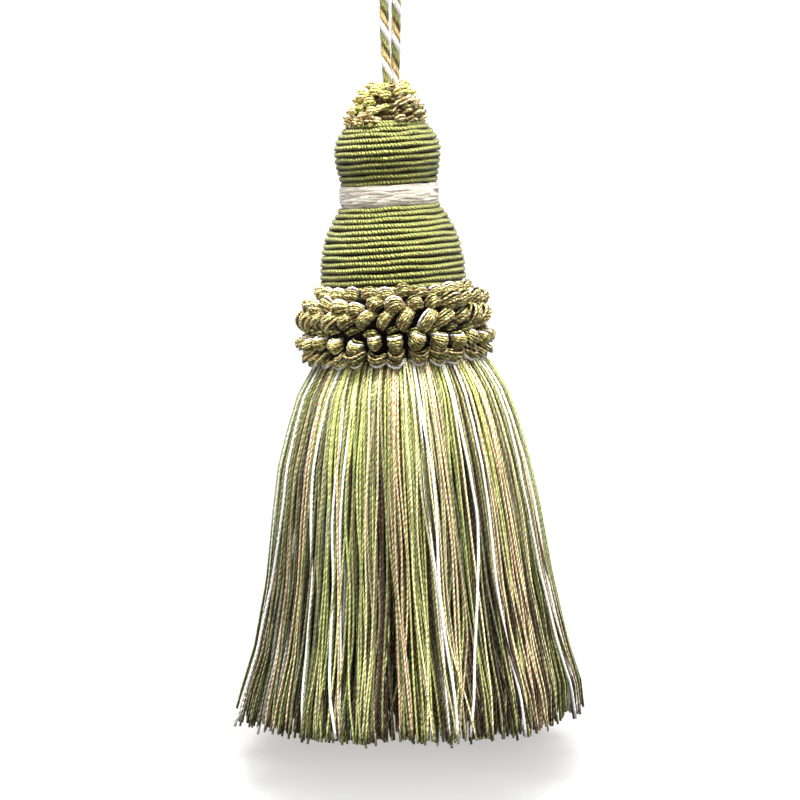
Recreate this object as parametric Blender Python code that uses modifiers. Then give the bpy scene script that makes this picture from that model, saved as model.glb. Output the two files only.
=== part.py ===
"""A silk key tassel: cord-wound head, satin band, knotted ruff and cut yarn skirt, hanging by a cord loop.

Units are metres and +Z is up. The origin is where the loop bears on whatever it hangs from. Head, ruff and
skirt share one axis. It leans a little, because the loop leaves the rosette off its middle. A "drop" is the
distance down that axis from the top of the rosette, and a piece's mesh is made upright on the axis.
"""

import math
import random
from collections import namedtuple

import bmesh
import bpy
from mathutils import Vector

MM = 0.001
GAP = 0.3 * MM

# The axis: where it starts, at the top of the rosette, and how far it leans towards +X on its way down.
KNOT = Vector((-1.3, 0.0, -55.0)) * MM
LEAN = math.radians(2.7)

# The loop: a round cord whose two legs close up as they go down into the rosette, the left one in front.
CORD_DIAMETER = 2.0 * MM
CORD_POINT_SPACING = 2.2 * MM
LOOP_ROUTE = [
    (0.95, 0.95, -63.5),
    (0.95, 0.95, -58.5),
    (1.0, 0.9, -54.0),
    (1.15, 0.7, -49.0),
    (1.25, 0.4, -43.5),
    (1.31, 0.1, -38.0),
    (1.5, 0.0, -33.0),
    (1.9, 0.0, -27.5),
    (2.55, 0.0, -21.5),
    (3.4, 0.0, -15.5),
    (4.2, 0.0, -10.0),
    (4.6, 0.0, -6.5),
    (4.7, 0.0, -3.7),
    (4.07, 0.0, -1.35),
    (2.35, 0.0, 0.37),
    (0.0, 0.0, 1.0),
    (-2.35, 0.0, 0.37),
    (-4.07, 0.0, -1.35),
    (-4.7, 0.0, -3.7),
    (-4.6, 0.0, -6.5),
    (-4.2, 0.0, -10.0),
    (-3.4, 0.0, -15.5),
    (-2.55, 0.0, -21.5),
    (-1.9, 0.0, -27.5),
    (-1.5, 0.0, -33.0),
    (-1.31, -0.1, -38.0),
    (-1.2, -0.4, -43.5),
    (-0.95, -0.75, -49.0),
    (-0.6, -1.0, -54.0),
    (-0.45, -1.1, -58.5),
    (-0.45, -1.1, -63.5),
]

# The rosette: a small domed ring of cord loops, knotted round the loop's two legs.
ROSETTE_LOBES = 14
ROSETTE_LOBE_DEPTH = 0.55 * MM
ROSETTE_SAMPLES_PER_LOBE = 2
ROSETTE_HOLE_RADIUS = 2.9 * MM
RosetteRow = namedtuple("RosetteRow", "drop centre_x radius lobed")
ROSETTE_ROWS = [
    RosetteRow(0.0, 1.1, 3.6, 0.3),
    RosetteRow(0.6, 1.0, 4.7, 0.8),
    RosetteRow(2.4, 0.7, 6.0, 1.0),
    RosetteRow(3.4, 0.6, 6.2, 0.6),
    RosetteRow(5.0, 0.4, 7.9, 1.0),
    RosetteRow(6.0, 0.3, 8.0, 0.6),
    RosetteRow(7.4, 0.15, 8.9, 1.0),
    RosetteRow(8.6, 0.1, 7.9, 0.3),
]

# The head: a bulb over a bell, both wound with fine covered cord in close rows, with a satin band between.
HEAD_STEPS = 32
WOUND_ROW = 1.36 * MM
WOUND_GROOVE = 0.3 * MM
NECK_RADIUS = 7.0 * MM
OutlinePoint = namedtuple("OutlinePoint", "drop radius")
BULB_OUTLINE = [
    OutlinePoint(8.95, 7.6),
    OutlinePoint(9.6, 8.8),
    OutlinePoint(10.9, 10.1),
    OutlinePoint(12.6, 11.05),
    OutlinePoint(14.3, 11.4),
    OutlinePoint(16.0, 11.35),
    OutlinePoint(19.0, 10.85),
    OutlinePoint(21.3, 10.4),
]
BAND_OUTLINE = [
    OutlinePoint(21.6, 10.2),
    OutlinePoint(22.4, 10.55),
    OutlinePoint(25.0, 10.6),
    OutlinePoint(25.8, 10.3),
]
BELL_OUTLINE = [
    OutlinePoint(26.1, 10.6),
    OutlinePoint(28.4, 12.0),
    OutlinePoint(30.5, 13.2),
    OutlinePoint(33.1, 14.3),
    OutlinePoint(35.6, 15.0),
    OutlinePoint(38.8, 15.45),
    OutlinePoint(43.0, 15.55),
    OutlinePoint(47.0, 15.5),
]

# The ruff: five rows of knotted stitches in a ring that laps over the foot of the bell.
RUFF_STITCHES = 26
RUFF_SAMPLES_PER_STITCH = 2
RUFF_STITCH_DEPTH = 0.9 * MM
RUFF_ROW_DEPTH = 0.9 * MM
RUFF_INNER_RADIUS = 15.85 * MM
RUFF_TOP_DROP = 43.3 * MM
RUFF_BOTTOM_DROP = 60.6 * MM
RuffRow = namedtuple("RuffRow", "drop radius stagger")
RUFF_ROWS = [
    RuffRow(44.6, 18.4, 0.0),
    RuffRow(47.2, 19.7, 0.5),
    RuffRow(50.4, 20.6, 0.0),
    RuffRow(55.0, 20.9, 0.5),
    RuffRow(59.1, 19.4, 0.5),
]

# The skirt: cut yarns as one fluted bell of locks. Its neck goes up inside the ruff and its rim is a comb.
SKIRT_LOCKS = 32
SKIRT_SAMPLES_PER_LOCK = 3
SKIRT_NECK_RADIUS = 15.3 * MM
SKIRT_NECK_TOP_DROP = 47.3 * MM
SKIRT_LOCK_DEPTH = 1.3 * MM
SKIRT_LOCK_UNEVEN = 0.4
SkirtSection = namedtuple("SkirtSection", "drop left right fluted")
SKIRT_SECTIONS = [
    SkirtSection(61.2, 18.6, 20.4, 0.0),
    SkirtSection(65.5, 21.0, 22.5, 0.1),
    SkirtSection(72.0, 23.1, 24.3, 0.15),
    SkirtSection(80.6, 25.8, 26.6, 0.25),
    SkirtSection(91.0, 27.8, 28.9, 0.4),
    SkirtSection(105.0, 30.1, 31.2, 0.6),
    SkirtSection(119.0, 33.0, 33.9, 0.8),
    SkirtSection(129.0, 37.0, 36.2, 1.0),
]
SKIRT_RIM = SkirtSection(136.2, 39.2, 36.4, 1.0)
SKIRT_RIM_LEVEL = 1.7 * MM
SKIRT_RIM_RAGGED = 1.3 * MM
SKIRT_NOTCH_DEPTH = 3.6 * MM
SKIRT_LOCK_THICKNESS = 3.0 * MM
SKIRT_DISH_RADIUS = 14.0 * MM
SKIRT_DISH_DEPTH = 2.5 * MM
SKIRT_SEED = 11
SkirtSample = namedtuple("SkirtSample", "turn end parted")

SilkColour = namedtuple("SilkColour", "red green blue roughness")
SILKS = {
    "hanging_loop": SilkColour(0.42, 0.40, 0.15, 0.5),
    "rosette": SilkColour(0.50, 0.45, 0.18, 0.55),
    "head_upper": SilkColour(0.25, 0.27, 0.07, 0.6),
    "satin_band": SilkColour(0.80, 0.77, 0.70, 0.3),
    "head_bell": SilkColour(0.24, 0.26, 0.07, 0.6),
    "ruff": SilkColour(0.33, 0.31, 0.12, 0.55),
    "skirt": SilkColour(0.45, 0.43, 0.22, 0.55),
}


def smooth_between(before, start, end, after, t):
    """A point on the smooth curve from start to end, a share t of the way along (Catmull-Rom)."""
    return 0.5 * (
        2.0 * start
        + (end - before) * t
        + (2.0 * before - 5.0 * start + 4.0 * end - after) * t**2
        + (3.0 * start - before - 3.0 * end + after) * t**3
    )


def smooth_route(points, spacing):
    """Points a steady distance apart on one smooth curve through the given points."""
    ends = [2.0 * points[0] - points[1], *points, 2.0 * points[-1] - points[-2]]
    shares = [step / 12 for step in range(12)]
    fine = [
        smooth_between(*ends[i : i + 4], share)
        for i in range(len(points) - 1)
        for share in shares
    ] + [points[-1]]
    walked = [0.0]
    for start, end in zip(fine, fine[1:]):
        walked.append(walked[-1] + (end - start).length)
    count = round(walked[-1] / spacing)
    route = []
    piece = 0
    for step in range(count + 1):
        wanted = walked[-1] * step / count
        while piece < len(fine) - 2 and walked[piece + 1] < wanted:
            piece += 1
        share = (wanted - walked[piece]) / (walked[piece + 1] - walked[piece])
        route.append(fine[piece].lerp(fine[piece + 1], share))
    return route


def outline_radius(outline, drop):
    """The radius, in metres, that a table of outline points in millimetres gives at a drop in metres."""
    wanted = drop / MM
    for upper, lower in zip(outline, outline[1:]):
        if wanted <= lower.drop:
            share = (wanted - upper.drop) / (lower.drop - upper.drop)
            return (upper.radius + (lower.radius - upper.radius) * share) * MM
    return outline[-1].radius * MM


def silk(name):
    """The plain finish of one sub-part."""
    colour = SILKS[name]
    finish = bpy.data.materials.new(name)
    finish.use_nodes = True
    shader = finish.node_tree.nodes["Principled BSDF"]
    shader.inputs["Base Color"].default_value = (colour.red, colour.green, colour.blue, 1.0)
    shader.inputs["Roughness"].default_value = colour.roughness
    shader.inputs["Metallic"].default_value = 0.0
    return finish


def add_piece(name, data, collection, parent=None):
    """Put one sub-part in the scene, with its finish, on the axis if it has one."""
    piece = bpy.data.objects.new(name, data)
    data.materials.append(silk(name))
    collection.objects.link(piece)
    piece.parent = parent
    return piece


def turned_piece(name, profile, closed, collection, parent):
    """A piece turned round the axis from a profile of (radius, drop) that runs down its outer side."""
    mesh = bpy.data.meshes.new(name)
    edges = [(i, i + 1) for i in range(len(profile) - 1)]
    if closed:
        edges.append((len(profile) - 1, 0))
    mesh.from_pydata([(radius, 0.0, -drop) for radius, drop in profile], edges, [])
    piece = add_piece(name, mesh, collection, parent)
    turn = piece.modifiers.new("turn", "SCREW")
    turn.axis = "Z"
    turn.angle = math.tau
    turn.steps = HEAD_STEPS
    turn.render_steps = HEAD_STEPS
    turn.use_merge_vertices = True
    turn.merge_threshold = 0.01 * MM
    turn.use_smooth_shade = True
    return piece


def wound_rows(outline):
    """The (radius, drop) profile of close-wound cord: a crest on the outline and a groove beside each row."""
    top = outline[0].drop * MM
    length = outline[-1].drop * MM - top
    rows = round(length / WOUND_ROW)
    profile = [(outline_radius(outline, top) - WOUND_GROOVE, top)]
    for row in range(rows):
        crest = top + length * (row + 0.5) / rows
        groove = top + length * (row + 1) / rows
        profile.append((outline_radius(outline, crest), crest))
        profile.append((outline_radius(outline, groove) - WOUND_GROOVE, groove))
    return profile


def lofted_piece(name, rings, middles, collection, parent):
    """A piece skinned over rings of points. It is capped at its middles, or joins up where it has none."""
    bm = bmesh.new()
    loops = [[bm.verts.new(point) for point in ring] for ring in rings]
    count = len(loops[0])
    joined = list(zip(loops, loops[1:])) if middles else list(zip(loops, loops[1:] + loops[:1]))
    for upper, lower in joined:
        for i in range(count):
            j = (i + 1) % count
            bm.faces.new((upper[i], lower[i], lower[j], upper[j]))
    if middles:
        top = bm.verts.new(middles[0])
        bottom = bm.verts.new(middles[1])
        for i in range(count):
            j = (i + 1) % count
            bm.faces.new((top, loops[0][i], loops[0][j]))
            bm.faces.new((bottom, loops[-1][j], loops[-1][i]))
    bmesh.ops.triangulate(bm, faces=bm.faces)
    mesh = bpy.data.meshes.new(name)
    bm.to_mesh(mesh)
    bm.free()
    mesh.shade_smooth()
    mesh.set_sharp_from_angle(angle=math.radians(50))
    return add_piece(name, mesh, collection, parent)


def on_axis(radius, turn, drop, centre_x=0.0):
    """The point at a radius, a turn from +X towards +Y, and a drop."""
    return (centre_x + radius * math.cos(turn), radius * math.sin(turn), -drop)


def lobe(turn, count, stagger=0.0):
    """0 on the crest of each of count lobes round the axis and 1 in the groove between two."""
    return 0.5 - 0.5 * math.cos(count * turn + math.tau * stagger)


def make_loop(collection):
    """The cord loop, one tube from foot to foot over the bight."""
    curve = bpy.data.curves.new("hanging_loop", "CURVE")
    curve.dimensions = "3D"
    curve.bevel_depth = CORD_DIAMETER / 2
    curve.bevel_resolution = 2
    curve.use_fill_caps = True
    route = smooth_route([Vector(point) * MM for point in LOOP_ROUTE], CORD_POINT_SPACING)
    spline = curve.splines.new("POLY")
    spline.points.add(len(route) - 1)
    for point, place in zip(spline.points, route):
        point.co = (*place, 1.0)
    return add_piece("hanging_loop", curve, collection)


def make_rosette(collection, axis):
    """The domed ring of loops, open in the middle for the cord's two legs."""
    count = ROSETTE_LOBES * ROSETTE_SAMPLES_PER_LOBE
    turns = [math.tau * i / count for i in range(count)]
    rings = []
    for row in ROSETTE_ROWS:
        depth = ROSETTE_LOBE_DEPTH * row.lobed
        rings.append(
            [
                on_axis(
                    row.radius * MM - depth * lobe(turn, ROSETTE_LOBES),
                    turn,
                    row.drop * MM,
                    row.centre_x * MM,
                )
                for turn in turns
            ]
        )
    hole_x = ROSETTE_ROWS[0].centre_x * MM
    for row in (ROSETTE_ROWS[-1], ROSETTE_ROWS[0]):
        hole_drop = row.drop * MM
        rings.append([on_axis(ROSETTE_HOLE_RADIUS, turn, hole_drop, hole_x) for turn in turns])
    return lofted_piece("rosette", rings, None, collection, axis)


def make_head(collection, axis):
    """The wound bulb with its neck, the band round the neck, and the wound bell below."""
    bulb = wound_rows(BULB_OUTLINE)
    bell = wound_rows(BELL_OUTLINE)
    bulb_bottom = bulb[-1][1]
    neck_bottom = bell[0][1] - GAP
    bulb = [(0.0, bulb[0][1]), *bulb]
    bulb += [(NECK_RADIUS, bulb_bottom), (NECK_RADIUS, neck_bottom), (0.0, neck_bottom)]
    bell = [(0.0, bell[0][1]), *bell, (0.0, bell[-1][1])]
    band = [(point.radius * MM, point.drop * MM) for point in BAND_OUTLINE]
    band += [(NECK_RADIUS + GAP, band[-1][1]), (NECK_RADIUS + GAP, band[0][1])]
    turned_piece("head_upper", bulb, False, collection, axis)
    turned_piece("satin_band", band, True, collection, axis)
    turned_piece("head_bell", bell, False, collection, axis)


def make_ruff(collection, axis):
    """The knotted ring: each row is a ring of stitch crests, with a groove between rows."""
    count = RUFF_STITCHES * RUFF_SAMPLES_PER_STITCH
    turns = [math.tau * i / count for i in range(count)]
    rings = [[on_axis(RUFF_ROWS[0].radius * MM - RUFF_ROW_DEPTH, turn, RUFF_TOP_DROP) for turn in turns]]
    for row, below in zip(RUFF_ROWS, RUFF_ROWS[1:] + [None]):
        rings.append(
            [
                on_axis(
                    row.radius * MM - RUFF_STITCH_DEPTH * lobe(turn, RUFF_STITCHES, row.stagger),
                    turn,
                    row.drop * MM,
                )
                for turn in turns
            ]
        )
        if below:
            groove_radius = (row.radius + below.radius) / 2 * MM - RUFF_ROW_DEPTH
            groove_drop = (row.drop + below.drop) / 2 * MM
            rings.append([on_axis(groove_radius, turn, groove_drop) for turn in turns])
    rings.append([on_axis(RUFF_ROWS[-1].radius * MM - RUFF_ROW_DEPTH, turn, RUFF_BOTTOM_DROP) for turn in turns])
    rings.append([on_axis(RUFF_INNER_RADIUS, turn, RUFF_BOTTOM_DROP) for turn in turns])
    rings.append([on_axis(RUFF_INNER_RADIUS, turn, RUFF_TOP_DROP) for turn in turns])
    return lofted_piece("ruff", rings, None, collection, axis)


def skirt_radius(section, turn):
    """The skirt's radius at a turn: its left and right sides differ, and front and back lie between them."""
    side = (section.right if math.cos(turn) > 0 else section.left) * MM
    front = (section.left + section.right) / 2 * MM
    return 1.0 / math.hypot(math.cos(turn) / side, math.sin(turn) / front)


def skirt_samples():
    """Places round the skirt, a few to each lock. Every lock has its own width, length and parting."""
    chance = random.Random(SKIRT_SEED)
    widths = [1.0 + SKIRT_LOCK_UNEVEN * chance.uniform(-1, 1) for _ in range(SKIRT_LOCKS)]
    samples = []
    start = 0.0
    for width in widths:
        own_turn = math.tau * width / sum(widths)
        own_end = SKIRT_RIM_RAGGED * chance.uniform(-1, 1)
        own_parting = 1.0 + SKIRT_LOCK_UNEVEN * chance.uniform(-1, 1)
        for step in range(SKIRT_SAMPLES_PER_LOCK):
            turn = start + own_turn * step / SKIRT_SAMPLES_PER_LOCK
            samples.append(SkirtSample(turn, own_end, own_parting if step == 0 else 0.0))
        start += own_turn
    return samples


def make_skirt(collection, axis):
    """The bell of yarn. Flutes part its locks, and each lock ends at its own length, with notches between."""
    samples = skirt_samples()
    neck_bottom = RUFF_BOTTOM_DROP + GAP
    rings = [
        [on_axis(SKIRT_NECK_RADIUS, sample.turn, drop) for sample in samples]
        for drop in (SKIRT_NECK_TOP_DROP, neck_bottom)
    ]
    for section in SKIRT_SECTIONS:
        flute = SKIRT_LOCK_DEPTH * section.fluted
        rings.append(
            [
                on_axis(skirt_radius(section, at.turn) - flute * at.parted, at.turn, section.drop * MM)
                for at in samples
            ]
        )
    rim_drop = SKIRT_RIM.drop * MM
    for inward in (0.0, SKIRT_LOCK_THICKNESS):
        rings.append(
            [
                on_axis(
                    skirt_radius(SKIRT_RIM, at.turn) - SKIRT_LOCK_DEPTH * at.parted - inward,
                    at.turn,
                    rim_drop + SKIRT_RIM_LEVEL * math.cos(at.turn) + at.end - SKIRT_NOTCH_DEPTH * at.parted,
                )
                for at in samples
            ]
        )
    rings.append([on_axis(SKIRT_DISH_RADIUS, at.turn, rim_drop - SKIRT_DISH_DEPTH / 2) for at in samples])
    middles = [on_axis(0.0, 0.0, SKIRT_NECK_TOP_DROP), on_axis(0.0, 0.0, rim_drop - SKIRT_DISH_DEPTH)]
    return lofted_piece("skirt", rings, middles, collection, axis)


for leftover in list(bpy.data.objects):
    bpy.data.objects.remove(leftover, do_unlink=True)

tassel = bpy.data.collections.new("silk_tassel")
bpy.context.scene.collection.children.link(tassel)

tassel_axis = bpy.data.objects.new("tassel_axis", None)
tassel_axis.location = KNOT
tassel_axis.rotation_euler = (0.0, -LEAN, 0.0)
tassel.objects.link(tassel_axis)

make_loop(tassel)
make_rosette(tassel, tassel_axis)
make_head(tassel, tassel_axis)
make_ruff(tassel, tassel_axis)
make_skirt(tassel, tassel_axis)
bpy.context.view_layer.update()
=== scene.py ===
"""The looks of a silk key tassel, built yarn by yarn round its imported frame. Metres, +Z up.

Places on the tassel are given as a radius from its leaning axis, a turn round it from +X towards +Y, and a
drop below the top of the rosette. Those sizes are in millimetres until on_axis makes them points in metres.
"""

import math

import bpy
import numpy as np
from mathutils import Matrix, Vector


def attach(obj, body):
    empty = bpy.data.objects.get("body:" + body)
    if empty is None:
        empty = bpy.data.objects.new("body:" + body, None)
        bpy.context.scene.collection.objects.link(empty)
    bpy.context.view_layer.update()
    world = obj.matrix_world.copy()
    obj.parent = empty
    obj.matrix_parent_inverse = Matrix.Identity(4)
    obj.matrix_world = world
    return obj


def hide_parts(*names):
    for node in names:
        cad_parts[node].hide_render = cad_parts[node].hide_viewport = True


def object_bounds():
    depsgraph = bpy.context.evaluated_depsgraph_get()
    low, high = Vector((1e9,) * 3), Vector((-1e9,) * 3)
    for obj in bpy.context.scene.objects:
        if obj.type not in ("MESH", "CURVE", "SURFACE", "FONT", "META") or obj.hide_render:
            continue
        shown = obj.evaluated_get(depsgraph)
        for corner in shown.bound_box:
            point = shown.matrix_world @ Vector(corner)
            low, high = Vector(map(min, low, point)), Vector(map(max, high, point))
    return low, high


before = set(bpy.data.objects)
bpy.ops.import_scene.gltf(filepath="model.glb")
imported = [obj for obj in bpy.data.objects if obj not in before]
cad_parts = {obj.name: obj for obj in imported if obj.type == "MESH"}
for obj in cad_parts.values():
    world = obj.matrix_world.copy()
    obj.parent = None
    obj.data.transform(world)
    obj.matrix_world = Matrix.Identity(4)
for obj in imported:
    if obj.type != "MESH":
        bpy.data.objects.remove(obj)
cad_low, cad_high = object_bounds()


# ---------------------------------------------------------------------------------------------------------
# The wound head: a turned bulb and a bell, covered from top to bottom in close rows of fine green cord.
# The cord is a twist of silk with tan in it, wound wet with glue so that each row sits against the last.
# ---------------------------------------------------------------------------------------------------------
MM = 0.001
ROSETTE_TOP = np.array([-1.3, 0.0, -55.0]) * MM
LEAN = math.radians(2.7)
HEAD_CORD_PITCH = 1.36
HEAD_CORD_RADIUS = 0.64
HEAD_CORD_SIDES = 12
HEAD_CORD_SWAY = 0.11
HEAD_CORD_SEED = 11
# The ground under the cord, dark as painted shade in the gaps between rows: how deep it lies, and its sides.
GROUND_DEPTH = 0.95
GROUND_SIDES = 48
# In each turn of a winding: steps of its line, and the waves that it sways in.
WOUND_STEPS = 120
WOUND_WAVES = 9
# Down the head: drop, radius.
BULB_OUTLINE = [
    (8.4, 6.6), (8.7, 7.9), (9.2, 8.6), (10.3, 9.6), (12.0, 10.8), (13.9, 11.4), (16.0, 11.4), (19.0, 10.8),
    (21.8, 10.25),
]
BELL_OUTLINE = [
    (26.2, 10.6), (28.4, 12.0), (30.5, 13.2), (33.1, 14.3), (35.6, 15.0), (38.8, 15.45), (43.0, 15.55),
    (46.6, 15.5),
]
# On a bake map, how much of its strip a yarn leaves free at its sides and ends, and where and how large its
# two cut ends are.
STRIP_SIDE = 0.1
STRIP_END = 0.06
CAP_PLACES = (0.03, 0.97)
CAP_SIZE = (0.4, 0.02)
EYE_GAMMA = 2.2


def on_axis(radius, turn, drop, centre_x=0.0):
    """Points in metres, from millimetres round a centre near the tassel's leaning axis."""
    x = centre_x + radius * np.cos(turn)
    y = radius * np.sin(turn)
    east = x * math.cos(LEAN) + drop * math.sin(LEAN)
    up = x * math.sin(LEAN) - drop * math.cos(LEAN)
    return ROSETTE_TOP + np.stack(np.broadcast_arrays(east, y, up), axis=-1) * MM


def unit(vectors):
    """The same directions at length 1."""
    return vectors / np.linalg.norm(vectors, axis=-1, keepdims=True)


def from_axis(lines):
    """At each point of the lines, the direction straight out from the tassel's axis."""
    axis = np.array([math.sin(LEAN), 0.0, -math.cos(LEAN)])
    away = lines - ROSETTE_TOP
    return unit(away - (away @ axis)[..., None] * axis)


def directions(lines, outward):
    """Directions out of each line and across it. Outward is given at every point, or only as a start, which
    is then carried along the line without twist."""
    along = unit(np.gradient(lines, axis=1))
    outward = np.asarray(outward, float)
    out = np.empty_like(lines)
    toward = outward
    for step in range(lines.shape[1]):
        if outward.ndim == 3:
            toward = outward[:, step]
        toward = unit(toward - (toward * along[:, step]).sum(axis=1, keepdims=True) * along[:, step])
        out[:, step] = toward
    return out, np.cross(along, out)


def add_map(mesh, name, side_x, side_y, cap_x, cap_y):
    """Adds a UV map: a place for every corner of the yarns' sides, and then of their first and last ends."""
    places = np.stack([np.append(side_x, cap_x), np.append(side_y, cap_y)], axis=1)
    mesh.uv_layers.new(name=name).uv.foreach_set("vector", places.astype(np.float32).ravel())


def add_bake_map(mesh, around, steps, strips_a_yarn, slender):
    """Adds the bake map, on which every yarn has so many strips of its own, laid out in rows and columns."""
    count, _, sides, _ = around.shape
    strips = count * strips_a_yarn
    steps_a_strip = math.ceil(steps / strips_a_yarn)
    columns = min(strips, math.ceil(math.sqrt(1.5 * strips * slender)))
    rows = math.ceil(strips / columns)
    strip = np.arange(count)[:, None] * strips_a_yarn + np.arange(steps) // steps_a_strip
    in_strip = (np.arange(steps) % steps_a_strip)[None, :, None, None]
    below = np.array([0.0, 0.0, 1.0, 1.0])
    column = (strip % columns)[..., None, None]
    level = (strip // columns)[..., None, None]
    side_x = (column + STRIP_SIDE + (1.0 - 2.0 * STRIP_SIDE) * around) / columns
    side_y = (level + STRIP_END + (1.0 - 2.0 * STRIP_END) * (in_strip + below) / steps_a_strip) / rows
    side_x, side_y = np.broadcast_arrays(side_x, side_y)
    cap_turn = math.tau * np.arange(sides) / sides
    cap_strip = np.concatenate([strip[:, 0], strip[:, -1]])[:, None]
    cap_level = cap_strip // columns + np.repeat(CAP_PLACES, count)[:, None]
    cap_x = (cap_strip % columns + 0.5 + CAP_SIZE[0] * np.cos(cap_turn)) / columns
    cap_y = (cap_level + CAP_SIZE[1] * np.sin(cap_turn)) / rows
    add_map(mesh, "OFBake", side_x, side_y, cap_x, cap_y)


def spun(name, lines, radius, sides, outward=(0.0, -1.0, 0.0), width=1.0, dyes=None, cuts=1):
    """One mesh of yarns, a tube with cut ends to each line, so many times as wide as it is thick. Its yarn
    map runs round each yarn in turns and along it in millimetres. Each yarn has a lot, its own shade, and a
    dye, the number of its finish. A long yarn is cut into so many strips on the bake map."""
    lines = np.asarray(lines, float)
    count, length = lines.shape[:2]
    steps = length - 1
    radius = np.broadcast_to(radius, (count, length))[..., None, None]
    width = np.broadcast_to(width, (count, length))[..., None, None]
    out, across = directions(lines, outward)
    corner = np.arange(sides)
    turn = (math.tau * corner / sides)[:, None]
    ring = np.cos(turn) * out[:, :, None] + width * np.sin(turn) * across[:, :, None]
    places = lines[:, :, None] + radius * ring

    first = np.arange(count)[:, None, None] * length * sides
    row = first + np.arange(steps)[:, None] * sides
    after = (corner + 1) % sides
    sheets = np.stack([row + corner, row + after, row + sides + after, row + sides + corner], axis=-1)
    starts = first[:, :, 0] + corner[::-1]
    ends = first[:, :, 0] + steps * sides + corner
    corners = np.concatenate([sheets.ravel(), starts.ravel(), ends.ravel()])
    sizes = np.concatenate([np.full(sheets.size // 4, 4), np.full(2 * count, sides)])
    mesh = bpy.data.meshes.new(name)
    mesh.vertices.add(places.size // 3)
    mesh.vertices.foreach_set("co", places.astype(np.float32).ravel())
    mesh.loops.add(len(corners))
    mesh.loops.foreach_set("vertex_index", corners.astype(np.int32))
    mesh.polygons.add(len(sizes))
    mesh.polygons.foreach_set("loop_start", np.concatenate([[0], np.cumsum(sizes)[:-1]]).astype(np.int32))
    mesh.update(calc_edges=True)
    mesh.polygons.foreach_set("use_smooth", sizes == 4)
    if dyes is not None:
        of_face = np.concatenate([np.repeat(dyes, steps * sides), dyes, dyes])
        mesh.polygons.foreach_set("material_index", of_face.astype(np.int32))

    walked = np.linalg.norm(np.diff(lines, axis=1), axis=2).cumsum(axis=1) / MM
    walked = np.concatenate([np.zeros((count, 1)), walked], axis=1)
    top = np.broadcast_to(walked[:, :-1, None], (count, steps, sides))
    foot = np.broadcast_to(walked[:, 1:, None], (count, steps, sides))
    left = np.broadcast_to(corner / sides, top.shape)
    around = np.stack([left, left + 1 / sides, left + 1 / sides, left], axis=-1)
    down = np.stack([top, top, foot, foot], axis=-1)
    cap_down = np.concatenate([np.zeros(count * sides), np.repeat(walked[:, -1], sides)])
    add_map(mesh, "yarn", around, down, np.full(cap_down.size, 0.25), cap_down)
    slender = walked[:, -1].mean() / cuts / (math.tau * radius.mean() / MM)
    add_bake_map(mesh, around, steps, cuts, slender)

    lot = mesh.attributes.new("lot", "FLOAT", "POINT")
    lot.data.foreach_set("value", np.repeat(np.linspace(0.0, 1.0, count), length * sides).astype(np.float32))
    piece = bpy.data.objects.new(name, mesh)
    bpy.context.scene.collection.objects.link(piece)
    return piece


class Fibre:
    """One output of a material's nodes. Arithmetic on it adds Math nodes to the same material."""

    def __init__(self, tree, socket=None):
        self.tree = tree
        self.socket = socket

    def node(self, kind, settings=None, sockets=None, output=0):
        """Adds a node, makes its settings, fills its sockets by name or number, and gives one output."""
        made = self.tree.nodes.new("ShaderNode" + kind)
        for name, value in (settings or {}).items():
            setattr(made, name, value)
        identified = {socket.identifier: socket for socket in made.inputs}
        for name, value in (sockets or {}).items():
            socket = identified[name] if name in identified else made.inputs[name]
            if isinstance(value, Fibre):
                self.tree.links.new(value.socket, socket)
            else:
                socket.default_value = value
        return Fibre(self.tree, made.outputs[output])

    def maths(self, operation, *values):
        """Adds a Math node."""
        return self.node("Math", {"operation": operation}, dict(enumerate(values)))

    def __add__(self, other):
        return self.maths("ADD", self, other)

    def __sub__(self, other):
        return self.maths("SUBTRACT", self, other)

    def __mul__(self, other):
        return self.maths("MULTIPLY", self, other)

    def __truediv__(self, other):
        return self.maths("DIVIDE", self, other)

    def __pow__(self, other):
        return self.maths("POWER", self, other)

    def __gt__(self, other):
        return self.maths("GREATER_THAN", self, other)

    def __radd__(self, other):
        return self.maths("ADD", other, self)

    def __rsub__(self, other):
        return self.maths("SUBTRACT", other, self)

    def __rmul__(self, other):
        return self.maths("MULTIPLY", other, self)

    def sine(self):
        """The sine of so many whole turns."""
        return self.maths("SINE", self * math.tau)

    def between(self, low, high):
        """0 at the low value and under it, rising to 1 at the high value."""
        return self.node("MapRange", None, {"Value": self, "From Min": low, "From Max": high})

    def mixed(self, one, other):
        """The first colour where this is 0 and the other where it is 1."""
        sockets = {"Factor_Float": self, "A_Color": one, "B_Color": other}
        return self.node("Mix", {"data_type": "RGBA"}, sockets, 2)

    def grey(self):
        """The same value for red, green and blue."""
        return self.node("CombineColor", None, {0: self, 1: self, 2: self})


def dye(red, green, blue):
    """A colour as the eye sees it, in the values that a shader takes."""
    return (red**EYE_GAMMA, green**EYE_GAMMA, blue**EYE_GAMMA, 1.0)


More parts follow.
